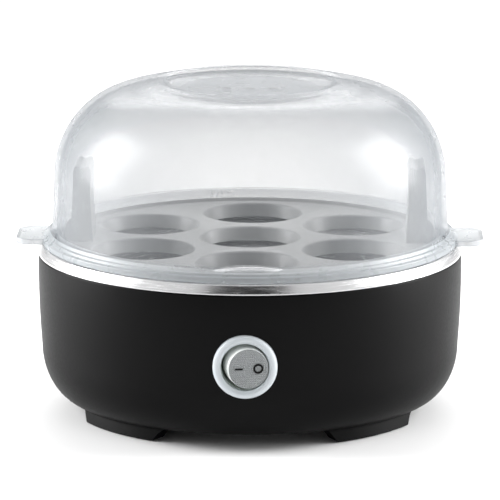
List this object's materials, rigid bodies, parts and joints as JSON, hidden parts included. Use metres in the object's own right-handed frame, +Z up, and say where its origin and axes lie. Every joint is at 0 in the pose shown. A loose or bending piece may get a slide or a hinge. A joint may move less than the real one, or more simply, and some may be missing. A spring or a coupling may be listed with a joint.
{
  "type": "egg cooker",
  "caption": "Round electric egg cooker: black drum base with a front rocker switch, steel pan, lift-out egg tray with two handles and a clear domed lid with ears.",
  "frame": {"origin": "on the surface it stands on, under the middle of the drum", "axes": "-Y is the front with the switch, +X runs along the lid's ears, +Z is up"},
  "size_m": [0.1816, 0.1734, 0.1287],
  "materials": {
    "black_plastic": "satin",
    "clear_plastic": "frosted clear",
    "grey_plastic": "satin",
    "pale_plastic": "gloss",
    "steel": "brushed",
    "aluminium": "plain",
    "brass": "plain",
    "rubber": "matt",
    "lamp_glass": "gloss",
    "wire_black": "satin",
    "wire_white": "satin",
    "wire_blue": "satin"
  },
  "bodies": {
    "base": {"base_shell": "black_plastic", "bottom_cover": "black_plastic", "foot_pad_1": "rubber", "foot_pad_2": "rubber", "foot_pad_3": "rubber", "foot_pad_4": "rubber", "cover_screw_1": "steel", "cover_screw_2": "steel", "cover_screw_3": "steel", "cover_screw_4": "steel", "heating_pan": "steel", "pan_gasket": "rubber", "pan_tab_1": "steel", "pan_tab_2": "steel", "pan_tab_3": "steel", "pan_screw_1": "steel", "pan_screw_2": "steel", "pan_screw_3": "steel", "heat_spreader": "aluminium", "heating_element": "steel", "element_strap": "steel", "centre_stud": "steel", "stud_nut": "steel", "thermostat": "aluminium", "thermal_fuse": "aluminium", "fuse_sleeve": "pale_plastic", "terminal_block": "pale_plastic", "terminal_screw_1": "brass", "terminal_screw_2": "brass", "cord_gland": "rubber", "switch_bezel": "pale_plastic", "switch_housing": "pale_plastic", "switch_lamp": "lamp_glass", "switch_terminal_1": "brass", "switch_terminal_2": "brass", "switch_terminal_3": "brass", "wire_live": "wire_black", "wire_switched": "wire_black", "wire_fuse": "wire_white", "wire_element": "wire_white", "wire_neutral": "wire_blue", "wire_lamp": "wire_blue"},
    "rocker": {"switch_rocker": "grey_plastic", "plunger_spring": "steel"},
    "lever": {"contact_lever": "brass"},
    "tray": {"egg_tray": "grey_plastic"},
    "lid": {"lid": "clear_plastic"}
  },
  "joints": [
    {"name": "rocker_tilt", "type": "hinge", "parent": "base", "child": "rocker", "pos_m": [0, -0.0776, 0.0344], "axis": [0, 0, -1], "range_deg": [0, 20]},
    {"name": "lever_tilt", "type": "hinge", "parent": "base", "child": "lever", "pos_m": [0, -0.0701, 0.0344], "axis": [0, 0, -1], "range_deg": [0, 10]},
    {"name": "tray_lift", "type": "slide", "parent": "base", "child": "tray", "axis": [0, 0, 1], "range_m": [0, 0.06]},
    {"name": "lid_lift", "type": "slide", "parent": "tray", "child": "lid", "axis": [0, 0, 1], "range_m": [0, 0.08]}
  ],
  "couplings": [
    {"joint": "lever_tilt", "follows": "rocker_tilt", "ratio": 0.5}
  ]
}
